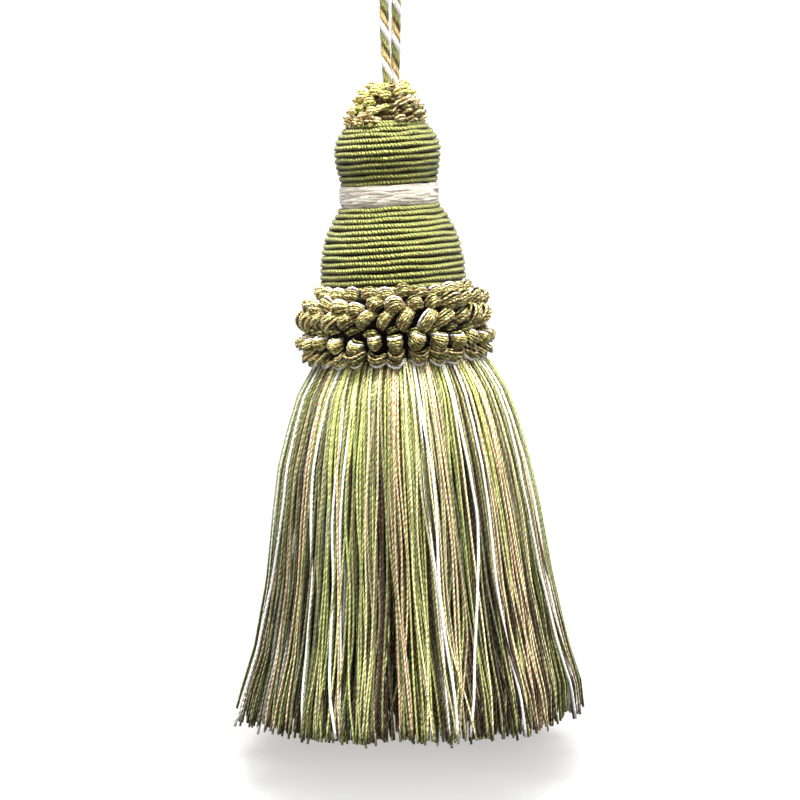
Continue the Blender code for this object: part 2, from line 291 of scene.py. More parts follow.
def silk(
    name, plies, lay, crest, groove_shade, other=None, patch=None, patches=0.0, patch_length=3.0, unevenness=0.3,
    depth=0.6, crease=0.5, opening=0.0, under=0.0, relief=0.12, roughness=0.4, sheen=0.15,
):
    """The finish of a silk twist. Its plies wind round it once in each lay (mm), right-handed if lay is
    above 0: dyed at the crest, and darkened by so much depth towards the colour between two plies, which is
    painted shade; every second one may have another dye. A patch dye shows here and there along the yarn,
    and fine filaments lie along each ply. The yarn's two sides are darker by the crease, painted shade where
    the next yarn shades it, and its underside, a quarter turn back, by so much more painted shade. Over the
    millimetres of an opening, where packed yarns come apart, the painted shade at the sides grows only
    slowly, and the first part of it is painted brighter, painted light."""
    finish = bpy.data.materials.new(name)
    finish.use_nodes = True
    shader = finish.node_tree.nodes["Principled BSDF"]
    start = Fibre(finish.node_tree)
    lot = start.node("Attribute", {"attribute_name": "lot"}, None, "Fac")
    place = start.node("UVMap", {"uv_map": "yarn"})
    around = start.node("SeparateXYZ", None, {0: place}, 0)
    down = start.node("SeparateXYZ", None, {0: place}, 1)
    # Large factors make unlike numbers of the lots of two yarns that lie side by side.
    own_turn = start.maths("FRACT", lot * 911.0)
    own_shade = start.maths("FRACT", lot * 371.0)
    own_lot = lot * 731.0
    patch_place = start.node("CombineXYZ", None, {0: own_lot, 1: down / patch_length, 2: around * 0.6})
    cloud = start.node("TexNoise", None, {"Vector": patch_place, "Scale": 1.0, "Detail": 2.0})
    wound_round = around + own_turn - down / lay + cloud * 0.9
    ridge = start.maths("ABSOLUTE", (wound_round * (plies / 2)).sine())
    over_plies = wound_round * plies * 5.0
    filament_place = start.node("CombineXYZ", None, {0: own_lot, 1: over_plies, 2: down * 1.2})
    filaments = start.node("TexNoise", None, {"Vector": filament_place, "Scale": 1.0, "Detail": 1.0})
    colour = crest
    if other:
        colour = ((wound_round.sine() + (filaments - 0.5) * 0.8) > 0.0).mixed(crest, other)
    if patch:
        colour = (cloud.between(0.5, 0.57) * patches).mixed(colour, patch)
    # Painted shade between two plies: the colour darkens from the crest by so much depth.
    top = (ridge + (filaments - 0.5) * 0.6).between(0.4, 1.0)
    colour = (top * depth + (1.0 - depth)).mixed(groove_shade, colour)
    # Painted shade: the yarn's sides darken by the crease, growing over an opening, and its underside by so
    # much more.
    side = start.maths("ABSOLUTE", around.sine())
    painted_shade = (side + (1.0 - ridge) * 0.18).between(0.3, 1.0) * crease
    if opening:
        painted_shade = painted_shade * (down.between(0.0, opening) * 0.85 + 0.15)
    if under:
        painted_shade = painted_shade + (0.0 - around.sine() + (1.0 - ridge) * 0.45).between(-0.1, 0.75) * under
    shadow = tuple(0.3 * value for value in groove_shade[:3]) + (1.0,)
    colour = painted_shade.mixed(colour, shadow)
    shade = 1.0 + (cloud - 0.5) * (1.2 * unevenness) + (own_shade - 0.5) * unevenness
    # Painted light: the first part of an opening is brighter.
    if opening:
        shade = shade * (1.32 - 0.32 * down.between(0.0, 0.4 * opening))
    shade = shade * (0.6 + filaments * 0.8)
    multiply = {"data_type": "RGBA", "blend_type": "MULTIPLY", "clamp_result": True}
    shaded = {"Factor_Float": 1.0, "A_Color": colour, "B_Color": shade.grey()}
    colour = start.node("Mix", multiply, shaded, 2)
    finish.node_tree.links.new(colour.socket, shader.inputs["Base Color"])
    height = ridge ** 0.7 + filaments * 0.25
    bump = start.node("Bump", None, {"Strength": 1.0, "Distance": relief * MM, "Height": height})
    finish.node_tree.links.new(bump.socket, shader.inputs["Normal"])
    finish.node_tree.links.new((filaments * 0.3 + (roughness - 0.15)).socket, shader.inputs["Roughness"])
    shader.inputs["Sheen Weight"].default_value = sheen
    shader.inputs["IOR"].default_value = 1.55
    shader.inputs["Specular IOR Level"].default_value = 1.0
    shader.inputs["Specular Tint"].default_value = crest
    return finish


def hang(piece, slot, finishes, *nodes):
    """Gives a piece its finishes, fixes it to the tassel, and lets it stand for the nodes that it covers."""
    for finish in finishes:
        piece.data.materials.append(finish)
    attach(piece, "root")
    if nodes:
        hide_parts(*nodes)


def wavering(seed, count, places, waves):
    """Smooth random courses, one row to each, of about unit size and with about so many waves in each."""
    rng = np.random.default_rng(seed)
    course = np.zeros((count, len(places)))
    for wave in range(1, waves + 1):
        size = rng.normal(size=(count, 1)) / math.sqrt(waves)
        start = rng.uniform(0.0, math.tau, size=(count, 1))
        course += size * np.sin(start + math.tau * wave * places * rng.uniform(0.7, 1.3, size=(count, 1)))
    return course


def winding(outline, pitch, depth, seed, sway):
    """The line of a cord wound down an outline, each row against the last, so deep under the outline and
    swaying so far, and its number of turns."""
    outline = np.array(outline)
    walked = np.concatenate([[0.0], np.cumsum(np.hypot(*np.diff(outline, axis=0).T))])
    turns = round(walked[-1] / pitch)
    share = np.linspace(0.0, 1.0, turns * WOUND_STEPS + 1)
    drop = np.interp(share * walked[-1], walked, outline[:, 0])
    radius = np.interp(share * walked[-1], walked, outline[:, 1]) - depth
    down, out = wavering(seed, 2, share, WOUND_WAVES * turns)
    turn = math.pi / 2 - math.tau * turns * share
    return on_axis(radius + 0.6 * sway * out, turn, drop + sway * down)[None], turns


# Painted shade darkens the cord along its sides and, much more, on the underside of each row.
gimp = silk(
    "wound_gimp", 3, 2.1, dye(0.80, 0.84, 0.45), dye(0.34, 0.31, 0.12), patch=dye(0.85, 0.71, 0.44),
    patches=0.6, patch_length=1.8, unevenness=0.5, depth=0.55, crease=0.9, under=0.97, relief=0.25,
)
# The ground's near-black finish is painted shade in the gaps between the cord's rows.
ground_shade_finish = silk("ground_painted_shade", 2, 2.0, dye(0.20, 0.21, 0.10), dye(0.12, 0.12, 0.06))
for name, outline, node in [
    ("bulb_winding", BULB_OUTLINE, "head_upper"),
    ("bell_winding", BELL_OUTLINE, "head_bell"),
]:
    line, turns = winding(outline, HEAD_CORD_PITCH, HEAD_CORD_RADIUS, HEAD_CORD_SEED, HEAD_CORD_SWAY)
    head_cord = spun(name, line, HEAD_CORD_RADIUS * MM, HEAD_CORD_SIDES, outward=from_axis(line), cuts=turns)
    hang(head_cord, "wound_gimp", [gimp], node)
    drops, radii = np.array(outline).T
    ground = spun(
        name + "_ground", on_axis(0.0, 0.0, drops)[None], (radii - GROUND_DEPTH)[None] * MM, GROUND_SIDES,
        outward=(1.0, 0.0, 0.0),
    )
    hang(ground, "wound_gimp", [ground_shade_finish])


# ---------------------------------------------------------------------------------------------------------
# The satin band: untwisted white floss wound many times round the waist between the bulb and the bell. Its
# turns cross a little and lie flat together, so that they shine as one.
# ---------------------------------------------------------------------------------------------------------
FLOSS_PITCH = 0.24
FLOSS_HALF_THICKNESS = 0.14
FLOSS_WIDTH = 3.2
FLOSS_SIDES = 8
FLOSS_SWAY = 0.2
FLOSS_SEED = 23
# Down the band: drop, radius.
BAND_OUTLINE = [(21.9, 10.15), (22.6, 10.55), (25.0, 10.6), (25.95, 10.25)]

satin = silk(
    "satin_floss", 2, 60.0, dye(0.96, 0.93, 0.87), dye(0.76, 0.69, 0.60), crease=0.45, relief=0.03,
    roughness=0.25, sheen=0.3,
)
line, turns = winding(BAND_OUTLINE, FLOSS_PITCH, FLOSS_HALF_THICKNESS, FLOSS_SEED, FLOSS_SWAY)
band = spun(
    "satin_band_floss", line, FLOSS_HALF_THICKNESS * MM, FLOSS_SIDES, outward=from_axis(line),
    width=FLOSS_WIDTH, cuts=turns,
)
hang(band, "satin_floss", [satin], "satin_band")


# ---------------------------------------------------------------------------------------------------------
# The hanging loop: one length of 2 mm cord, doubled, both ends knotted inside the head. Three silk plies,
# green, gold and white, are laid together with a left-handed twist.
# ---------------------------------------------------------------------------------------------------------
CORD_LAY = 7.9
CORD_STEPS = 420
FLOWING_STEPS = 16
PLY_SIDES = 14
# The shares of the cord's length between which its plies turn over at the bight, and the heights at which
# the green ply faces the front on the right leg and on the left.
CORD_SWAP = (0.44, 0.56)
GREEN_FRONTS = (-49.0, -46.7)
# The green, gold and white plies: place round the cord on the right leg and on the left, distance from its
# middle and how much more where they pass each other, half thickness, width.
CORD_PLIES = [
    (0.0, 0.0, 0.47, -0.144, 0.53, 1.3),
    (0.625, 0.375, 0.50, 0.0435, 0.50, 1.15),
    (0.335, 0.665, 0.52, -0.0435, 0.50, 1.3),
]
# Up the right leg, round the bight and down the left one.
LOOP_ROUTE = [
    (0.95, 0.95, -63.5),
    (0.95, 0.95, -58.5),
    (1.0, 0.9, -54.0),
    (1.15, 0.7, -49.0),
    (1.25, 0.4, -43.5),
    (1.31, 0.1, -38.0),
    (1.5, 0.0, -33.0),
    (1.9, 0.0, -27.5),
    (2.55, 0.0, -21.5),
    (3.4, 0.0, -15.5),
    (4.2, 0.0, -10.0),
    (4.6, 0.0, -6.5),
    (4.7, 0.0, -3.7),
    (4.07, 0.0, -1.35),
    (2.35, 0.0, 0.37),
    (0.0, 0.0, 1.0),
    (-2.35, 0.0, 0.37),
    (-4.07, 0.0, -1.35),
    (-4.7, 0.0, -3.7),
    (-4.6, 0.0, -6.5),
    (-4.2, 0.0, -10.0),
    (-3.4, 0.0, -15.5),
    (-2.55, 0.0, -21.5),
    (-1.9, 0.0, -27.5),
    (-1.5, 0.0, -33.0),
    (-1.31, -0.1, -38.0),
    (-1.2, -0.4, -43.5),
    (-0.95, -0.75, -49.0),
    (-0.6, -1.0, -54.0),
    (-0.45, -1.1, -58.5),
    (-0.45, -1.1, -63.5),
]


def flowing(points, count):
    """A line of so many evenly spaced points, on one smooth curve through those given, and its length."""
    points = np.asarray(points, float)
    ends = np.vstack([2 * points[0] - points[1], points, 2 * points[-1] - points[-2]])
    share = np.linspace(0.0, 1.0, FLOWING_STEPS, endpoint=False)[:, None]
    fine = [
        0.5
        * (
            2 * start
            + (end - before) * share
            + (2 * before - 5 * start + 4 * end - after) * share**2
            + (3 * start - before - 3 * end + after) * share**3
        )
        for before, start, end, after in zip(ends, ends[1:], ends[2:], ends[3:])
    ]
    fine = np.vstack([*fine, points[-1:]])
    walked = np.concatenate([[0.0], np.cumsum(np.linalg.norm(np.diff(fine, axis=0), axis=1))])
    wanted = np.linspace(0.0, walked[-1], count)
    return np.stack([np.interp(wanted, walked, course) for course in fine.T], axis=1), walked[-1]


cord_line, cord_length = flowing(np.array(LOOP_ROUTE) * MM, CORD_STEPS)
cord_out, cord_across = directions(cord_line[None], (0.0, -1.0, 0.0))
share = np.linspace(0.0, 1.0, CORD_STEPS)
laid = share * cord_length / MM / CORD_LAY
middle = CORD_STEPS // 2
right_front = np.interp(GREEN_FRONTS[0] * MM, cord_line[:middle, 2], laid[:middle])
left_front = np.interp(-GREEN_FRONTS[1] * MM, -cord_line[middle:, 2], laid[middle:])
swapped = np.clip((share - CORD_SWAP[0]) / (CORD_SWAP[1] - CORD_SWAP[0]), 0.0, 1.0)
swapped = swapped * swapped * (3.0 - 2.0 * swapped)
right_place, left_place, from_middle, passing, half_thickness, width = np.array(CORD_PLIES).T[..., None]
turned_over = left_place - right_place + (left_front - right_front) % 1.0
from_middle = from_middle + passing * np.sin(math.pi * swapped) ** 2
turn = math.tau * (right_front + right_place + swapped * turned_over - laid)
aside = np.cos(turn)[..., None] * cord_out + np.sin(turn)[..., None] * cord_across
hanging_cord = spun(
    "hanging_cord", cord_line + from_middle[..., None] * MM * aside, half_thickness * MM, PLY_SIDES,
    outward=aside, width=width, dyes=np.arange(3), cuts=2,
)
cord_finishes = [
    silk("cord_green", 6, 4.6, dye(0.72, 0.72, 0.44), dye(0.32, 0.31, 0.15), crease=0.7, relief=0.08),
    silk("cord_gold", 6, 4.6, dye(0.98, 0.87, 0.60), dye(0.62, 0.42, 0.22), crease=0.7, relief=0.08),
    silk(
        "cord_white", 6, 4.6, dye(0.98, 0.97, 0.95), dye(0.90, 0.88, 0.84), unevenness=0.1, crease=0.3,
        relief=0.05,
    ),
]
hang(hanging_cord, "cord", cord_finishes, "hanging_loop")


# ---------------------------------------------------------------------------------------------------------
# The rosette: small loops of pale green, gold and white silk, sewn down round the foot of the cord in close
# tiers over rings of plain yarn, whose darker colour is painted shade between the loops. It hides the hole
# in the head and has a cleft at the front, its loops darker as painted shade.
# ---------------------------------------------------------------------------------------------------------
KNOT_YARN_RADIUS = 0.31
KNOT_YARN_SIDES = 6
KNOT_YARN_STEPS = 13
# How far a stitch swings to each side of its top, as an angle in radians.
KNOT_SWING = 1.5
# How unlike each other stitches are: in size, slant (degrees), place and radius; and the yarns of one, in
# place and reach.
SIZE_SPREAD = 0.07
SLANT_SPREAD = 8.0
PLACE_SPREAD = 0.2
RADIUS_SPREAD = 0.15
YARN_PLACE_SPREAD = 0.06
YARN_REACH_SPREAD = 0.04
# The plain rings under the stitches.
RING_STEPS = 60
RING_SIDES = 8
# The numbers of the dyes, which are those of their finishes.
GREEN, GOLD, WHITE, PALE_GREEN, PALE_GOLD = range(5)
# Down the rosette: drop, centre_x, radius, loops, and the dyes of the loops' yarns at the left and right,
# the left ones paler, partly as painted light.
ROSETTE_TIERS = [
    (0.9, 1.2, 1.8, 6, [PALE_GREEN, PALE_GOLD, PALE_GREEN], [PALE_GOLD, PALE_GREEN, GREEN]),
    (1.3, 0.9, 3.3, 10, [PALE_GREEN, PALE_GOLD, PALE_GREEN], [PALE_GOLD, PALE_GREEN, PALE_GOLD]),
    (2.3, 0.7, 4.6, 14, [PALE_GOLD, PALE_GREEN, PALE_GOLD], [PALE_GOLD, PALE_GREEN, GOLD]),
    (3.5, 0.5, 5.5, 16, [PALE_GREEN, PALE_GOLD, PALE_GREEN], [WHITE, PALE_GOLD, GOLD]),
    (4.8, 0.2, 6.2, 18, [PALE_GOLD, PALE_GREEN, PALE_GREEN], [PALE_GOLD, GOLD, GREEN]),
    (6.1, -0.1, 6.9, 20, [PALE_GOLD, PALE_GOLD, PALE_GREEN], [GOLD, GREEN, GOLD]),
    (7.3, -0.2, 7.2, 21, [WHITE, PALE_GOLD, GOLD], [GOLD, PALE_GOLD, GREEN]),
    (8.2, -0.2, 7.1, 21, [PALE_GOLD, GOLD, PALE_GREEN], [PALE_GOLD, GOLD, GREEN]),
]
# The share of the way to the right at which the left dyes give way to the right ones.
ROSETTE_DIVIDE = 0.15
# The cleft at the front: its turn, how wide and how deep it is, and the darker dyes of the loops in it,
# painted shade.
ROSETTE_CLEFT = (-1.42, 0.3, 2.8)
CLEFT_SHADE_DYES = [GREEN, GOLD, GREEN]
# The rings under the rosette: radius of the yarn, centre_x, and each ring's drop and radius.
ROSETTE_RING_YARN = 0.75
ROSETTE_RING_CENTRE = 0.4
ROSETTE_RINGS = [
    (1.2, 1.9), (1.9, 2.9), (2.9, 3.9), (4.0, 4.7), (5.2, 5.4), (6.4, 5.9), (7.6, 6.2), (8.5, 6.0),
]


def stitches(
    rng, turns, drop, radius, dyes, half_length, half_width, height, tilt, bend, centre_x=0.0, loose=1.0
):
    """Stitches round the axis, each a bundle of yarns that rises out of the work, lies over a padded mound
    and goes in again. The dyes are those of each stitch's yarns from the upper edge down. Tilt, in degrees,
    raises the end at the greater turn; bend lifts both ends. Loose work is more uneven. Gives the yarns'
    lines, directions outward and dyes."""
    lines = []
    outward = []
    swing = np.linspace(-KNOT_SWING, KNOT_SWING, KNOT_YARN_STEPS)
    for turn, radius, own_dyes in zip(turns, np.broadcast_to(radius, len(turns)), dyes):
        grown = rng.normal(1.0, SIZE_SPREAD * loose)
        slant = math.radians(tilt + rng.normal(0.0, SLANT_SPREAD * loose))
        own_drop = drop + rng.normal(0.0, PLACE_SPREAD * loose)
        own_turn = turn + rng.normal(0.0, PLACE_SPREAD * loose) / radius
        own_radius = radius + rng.normal(0.0, RADIUS_SPREAD * loose)
        for yarn in np.linspace(1.0, -1.0, len(own_dyes)):
            level = yarn * half_width * grown + rng.normal(0.0, YARN_PLACE_SPREAD)
            reach = half_length * grown * rng.normal(1.0, YARN_REACH_SPREAD) * np.sin(swing)
            rise = level * (0.5 + 0.5 * np.cos(swing)) + bend * np.sin(swing) ** 2
            proud = height * grown * np.cos(swing) * math.sqrt(1.0 - 0.75 * yarn**2) - 0.25 * yarn**2
            places = []
            for off in [0.0, 0.1]:
                higher = rise + off * math.sin(yarn)
                further = own_radius + proud + off * math.cos(yarn)
                along = reach * math.cos(slant) - higher * math.sin(slant)
                up = reach * math.sin(slant) + higher * math.cos(slant)
                places.append(on_axis(further, own_turn + along / radius, own_drop - up, centre_x))
            lines.append(places[0])
            outward.append(unit(places[1] - places[0]))
    return lines, outward, np.concatenate(dyes)


def knotted(name, groups, node):
    """One piece of all the groups of stitches, which stands for the CAD node."""
    lines, outward, dyes = (np.concatenate(parts) for parts in zip(*groups))
    knots = spun(name, lines, KNOT_YARN_RADIUS * MM, KNOT_YARN_SIDES, outward=outward, dyes=dyes)
    hang(knots, "knotted_yarn", knot_finishes, node)


def even_turns(count, start):
    """So many turns, spaced evenly round the axis."""
    return math.tau * (np.arange(count) + start) / count


def foundation(name, yarn_radius, rows, finish, centre_x=0.0):
    """Plain rings of yarn under the stitches, one for each row of drop and radius."""
    turn = np.linspace(0.0, math.tau, RING_STEPS)
    rings = [on_axis(radius, turn, drop, centre_x) for drop, radius in rows]
    core = spun(name, rings, yarn_radius * MM, RING_SIDES, outward=(0.0, 0.0, 1.0))
    hang(core, "knotted_yarn", [finish])


# Painted shade darkens these yarns between their plies and along their sides. Picot gold is also painted
# light on the ruff's left side.
knot_finishes = [
    silk(
        "knot_green", 2, 2.2, dye(0.74, 0.74, 0.42), dye(0.17, 0.13, 0.05), other=dye(0.52, 0.49, 0.26),
        patch_length=2.0, unevenness=1.1, depth=0.9, crease=0.95, roughness=0.32,
    ),
    silk(
        "knot_gold", 2, 2.2, dye(1.0, 0.93, 0.66), dye(0.33, 0.20, 0.09), other=dye(0.84, 0.67, 0.42),
        patch_length=2.0, unevenness=1.1, depth=0.9, crease=0.9, roughness=0.32,
    ),
    silk(
        "knot_white", 2, 2.2, dye(0.98, 0.97, 0.95), dye(0.80, 0.75, 0.70), unevenness=0.25, roughness=0.36,
    ),
    silk(
        "picot_green", 2, 1.4, dye(0.93, 0.95, 0.55), dye(0.58, 0.55, 0.25), other=dye(0.84, 0.86, 0.46),
        unevenness=0.5, depth=0.7, crease=0.3, roughness=0.36,
    ),
    silk(
        "picot_gold_and_painted_light", 2, 1.4, dye(1.0, 0.97, 0.74), dye(0.74, 0.52, 0.24), other=dye(0.99, 0.87, 0.56),
        unevenness=0.5, depth=0.7, crease=0.3, roughness=0.36,
    ),
]

rosette_rng = np.random.default_rng(41)
cleft_turn, cleft_width, cleft_depth = ROSETTE_CLEFT
rosette_groups = []
for tier, (drop, centre_x, radius, loops, left_dyes, right_dyes) in enumerate(ROSETTE_TIERS):
    turns = even_turns(loops, 0.5 * tier)
    from_cleft = np.angle(np.exp(1j * (turns - cleft_turn)))
    cleft = cleft_depth * np.exp(-((from_cleft / cleft_width) ** 2))
    side_dyes = [left_dyes if math.cos(turn) < ROSETTE_DIVIDE else right_dyes for turn in turns]
    dyes = [CLEFT_SHADE_DYES if cut > 0.5 * cleft_depth else own for cut, own in zip(cleft, side_dyes)]
    rosette_groups.append(stitches(
        rosette_rng, turns, drop, radius - cleft, dyes, half_length=0.9, half_width=0.6, height=1.4,
        tilt=15.0, bend=-0.3, centre_x=centre_x, loose=2.1,
    ))
knotted("rosette_knots", rosette_groups, "rosette")
# The rings' darker finish is painted shade between the loops.
foundation(
    "rosette_foundation", ROSETTE_RING_YARN, ROSETTE_RINGS,
    silk("rosette_ground_painted_shade", 2, 2.0, dye(0.38, 0.33, 0.17), dye(0.18, 0.13, 0.06)), ROSETTE_RING_CENTRE,
)


# ---------------------------------------------------------------------------------------------------------
# The skirt: cut silk fringe bound round the bottom of the bell. Its yarns are two-ply twists in green,
# olive, tan, cream, white and brown; they lie close under the ruff and part into locks towards the rim.
# ---------------------------------------------------------------------------------------------------------
# Down the skirt: drop, radius at the left, radius at the right.
SKIRT_SECTIONS = np.array([
    (58.0, 17.2, 18.2),
    (61.2, 19.1, 20.7),
    (65.5, 21.8, 23.2),
    (72.0, 24.1, 25.3),
    (80.6, 26.8, 27.4),
    (91.0, 28.6, 29.3),
    (105.0, 30.5, 31.1),
    (119.0, 33.5, 33.6),
    (129.0, 36.9, 35.8),
    (137.0, 39.2, 35.8),
])
SKIRT_TOP_DROP = 58.0
RIM_DROP = 136.2
RIM_FALL_TO_RIGHT = 1.0
RIM_RISE_AT_SIDES = 2.2
# How uneven the yarns are at the rim: in length, in depth and sideways, and the share that stray further.
CUT_SPREAD = 0.55
DEPTH_SPREAD = 0.7
SIDEWAYS_SPREAD = 1.9
STRAY_SHARE = 0.18
STRAY_FURTHER = 2.4
# How uneven they are all the way down: in depth, and how far they waver sideways.
LAYER_THICKNESS = 0.9
WAVER = 0.4
# The locks that the yarns part into, how far they draw together, and where down the skirt that starts.
LOCKS = 44
LOCK_DRAW = 0.35
PARTING = (0.2, 0.75)
# Across half of the fringe as it was warped: dye, yarns. The olive crowded at its start, on the skirt's
# left, is partly painted shade on that side.
FRINGE_WARP = [
    ("green", 2), ("olive", 1), ("white", 1), ("olive", 5), ("brown", 1), ("olive", 4), ("white", 1),
    ("olive", 1), ("tan", 1), ("olive", 5), ("tan", 2), ("olive", 2), ("brown", 1), ("tan", 2),
    ("olive", 3), ("green", 2), ("white", 1), ("cream", 1), ("olive", 2), ("green", 2), ("white", 1),
    ("tan", 1), ("green", 1), ("white", 1), ("green", 6), ("olive", 1), ("cream", 1), ("green", 2),
    ("tan", 2), ("brown", 1), ("cream", 1), ("olive", 2), ("tan", 3), ("cream", 1), ("green", 3),
    ("cream", 2), ("olive", 1), ("white", 2), ("cream", 3), ("tan", 2), ("cream", 2), ("olive", 1),
    ("green", 2), ("brown", 1), ("cream", 1), ("white", 1), ("olive", 2), ("brown", 1), ("green", 1),
    ("tan", 2), ("white", 1), ("cream", 2), ("green", 2), ("tan", 2), ("cream", 2), ("tan", 2),
    ("brown", 1), ("olive", 2), ("cream", 2), ("white", 1), ("olive", 3), ("cream", 2), ("tan", 2),
    ("white", 1), ("olive", 5), ("green", 4),
]
# Crest dye, the colour between two plies and at the sides (painted shade), other ply's dye, radius.
SKIRT_DYES = {
    "green": (dye(0.78, 0.81, 0.48), dye(0.28, 0.27, 0.12), dye(0.67, 0.70, 0.39), 0.26),
    "olive": (dye(0.58, 0.59, 0.38), dye(0.17, 0.16, 0.08), dye(0.48, 0.48, 0.30), 0.26),
    "tan": (dye(0.97, 0.89, 0.71), dye(0.44, 0.30, 0.17), dye(0.90, 0.77, 0.57), 0.25),
    "cream": (dye(0.99, 0.96, 0.76), dye(0.58, 0.50, 0.28), dye(0.96, 0.91, 0.67), 0.25),
    "white": (dye(0.98, 0.98, 0.97), dye(0.92, 0.90, 0.88), dye(0.97, 0.96, 0.95), 0.31),
    "brown": (dye(0.46, 0.36, 0.24), dye(0.14, 0.09, 0.05), dye(0.36, 0.27, 0.17), 0.26),
}
# How much of each dye is in the inner yarns: mostly olive and brown, painted shade on yarns deep in the
# skirt.
INNER_SHADE_SHARES = [0.18, 0.36, 0.12, 0.04, 0.02, 0.28]
# The pairs of yarns of the outermost layer that changed places.
WARP_SWAPS = 50
# The second layer is the warp again, turned by some yarns, with many of them replaced. Their dyes are drawn
# from these, at the front and back, where olive and brown are painted shade on the second layer, and at the
# sides.
WARP_SHIFT = 7
WARP_CHANGES = 190
FRONT_SHADE_CHANGES = ["green", "olive", "olive", "tan", "brown", "brown"]
SIDE_CHANGES = ["green", "olive", "cream", "tan", "white", "tan"]
OUTER_STEPS = 40
INNER_STEPS = 26
SKIRT_YARN_SIDES = 6
# From the outside in: yarns (0 for the warp's own), depth at the top, depth at the rim, steps.
SKIRT_LAYERS = [
    (0, 0.4, 0.4, OUTER_STEPS),
    (0, 1.0, 2.6, OUTER_STEPS),
    (230, 1.6, 5.0, INNER_STEPS),
    (200, 2.2, 8.0, 20),
    (160, 2.9, 12.0, 16),
    (120, 3.6, 17.5, 14),
    (80, 4.3, 24.0, 12),
]

skirt_rng = np.random.default_rng(77)
warp = [dye_name for dye_name, yarns in FRINGE_WARP for _ in range(yarns)] * 2
skirt_yarns = {dye_name: [] for dye_name in SKIRT_DYES}
lock_turns = np.sort(skirt_rng.uniform(0.0, math.tau, LOCKS))


def skirt_radius(turn, drop):
    """The skirt's outer radius: an ellipse quarter on each side, as wide as that side's section."""
    left = np.interp(drop, SKIRT_SECTIONS[:, 0], SKIRT_SECTIONS[:, 1])
    right = np.interp(drop, SKIRT_SECTIONS[:, 0], SKIRT_SECTIONS[:, 2])
    side = np.where(np.cos(turn) > 0.0, right, left)
    return 1.0 / np.hypot(np.cos(turn) / side, np.sin(turn) * 2.0 / (left + right))


for layer, (yarns, depth_top, depth_rim, steps) in enumerate(SKIRT_LAYERS):
    names = list(warp) if yarns == 0 else list(skirt_rng.choice(list(SKIRT_DYES), yarns, p=INNER_SHADE_SHARES))
    if layer == 0:
        for spot in skirt_rng.choice(len(names) - 3, WARP_SWAPS, replace=False):
            names[spot], names[spot + 2] = names[spot + 2], names[spot]
    if layer == 1:
        names = names[WARP_SHIFT:] + names[:WARP_SHIFT]
        for spot in skirt_rng.choice(len(names), WARP_CHANGES, replace=False):
            at_side = abs(math.cos(math.tau * spot / len(names))) > 0.8
            names[spot] = skirt_rng.choice(SIDE_CHANGES if at_side else FRONT_SHADE_CHANGES)
    count = len(names)
    rows = np.arange(count)[:, None]
    share = np.linspace(0.0, 1.0, steps)[None]
    root_turn = math.pi + math.tau * (rows + 0.5 * layer + skirt_rng.normal(0.0, 0.3, (count, 1))) / count
    cut_drop = RIM_DROP + RIM_FALL_TO_RIGHT * np.cos(root_turn)
    cut_drop = cut_drop + skirt_rng.normal(0.0, CUT_SPREAD, (count, 1))
    cut_drop = cut_drop - RIM_RISE_AT_SIDES * np.cos(root_turn) ** 6 + 0.4 * min(layer, 3)
    drop = SKIRT_TOP_DROP + share * (cut_drop - SKIRT_TOP_DROP)
    parting = skirt_rng.uniform(*PARTING, (count, 1))
    splay = np.clip((share - parting) / (1.0 - parting), 0.0, 1.0) ** 1.3
    stray = np.where(skirt_rng.uniform(0.0, 1.0, (count, 1)) < STRAY_SHARE, STRAY_FURTHER, 1.0)
    sideways = skirt_rng.normal(0.0, SIDEWAYS_SPREAD, (count, 1)) * splay * stray
    sideways = sideways + WAVER * wavering(100 + layer, count, share[0], 2)
    nearest = lock_turns[np.abs(np.angle(np.exp(1j * (root_turn - lock_turns)))).argmin(axis=1)][:, None]
    to_lock = np.angle(np.exp(1j * (nearest - root_turn)))
    outer = skirt_radius(root_turn, drop)
    depth = depth_top + (depth_rim - depth_top) * share**1.3
    depth = depth + skirt_rng.uniform(0.0, LAYER_THICKNESS, (count, 1))
    depth = depth + skirt_rng.normal(0.0, DEPTH_SPREAD, (count, 1)) * splay
    turn = root_turn + to_lock * LOCK_DRAW * splay + sideways / outer
    lines = on_axis(np.maximum(outer - depth, 1.0), turn, drop)
    for name, line in zip(names, lines):
        skirt_yarns[name].append(line)

for name, lines in skirt_yarns.items():
    crest, groove_shade, other, radius = SKIRT_DYES[name]
    # Painted shade at each yarn's sides grows down the skirt; its first part under the ruff is painted
    # brighter, painted light.
    finish = silk(
        "skirt_" + name, 2, 2.5, crest, groove_shade, other=other, patch_length=6.0, opening=60.0,
        unevenness=0.1 if name == "white" else 0.8, depth=0.55 if name in ("green", "olive") else 0.75,
        crease=0.35 if name == "white" else 0.95, roughness=0.36,
    )
    outer = [line for line in lines if len(line) == OUTER_STEPS]
    inner = [flowing(line, INNER_STEPS)[0] for line in lines if len(line) != OUTER_STEPS]
    for part, part_lines in [("outer", np.array(outer)), ("inner", np.array(inner))]:
        skirt_piece = spun(
            f"skirt_{name}_{part}", part_lines, radius * MM, SKIRT_YARN_SIDES, outward=from_axis(part_lines)
        )
        stands_for = ["skirt"] if (name, part) == ("green", "outer") else []
        hang(skirt_piece, "skirt_yarn", [finish], *stands_for)


# ---------------------------------------------------------------------------------------------------------
# The ruff: a thick knotted trimming sewn round the head of the skirt, in rows of fat stitches over rings of
# yarn, dark as painted shade between the stitches. Each stitch is a bundle of green and gold yarns, the gold
# paler on the left as painted light; many have a white one along the edge.
# ---------------------------------------------------------------------------------------------------------
RUFF_STITCHES = 26
# The upper rows, down to a drop, have a white edge on only a share of their stitches. Beyond a share of the
# way to the
# left, the gold is paler: painted light on the ruff's lit left side.
EDGED_SHARE = 0.5
ALL_EDGED_DROP = 52.0
PAINTED_LIGHT_SIDE = 0.6
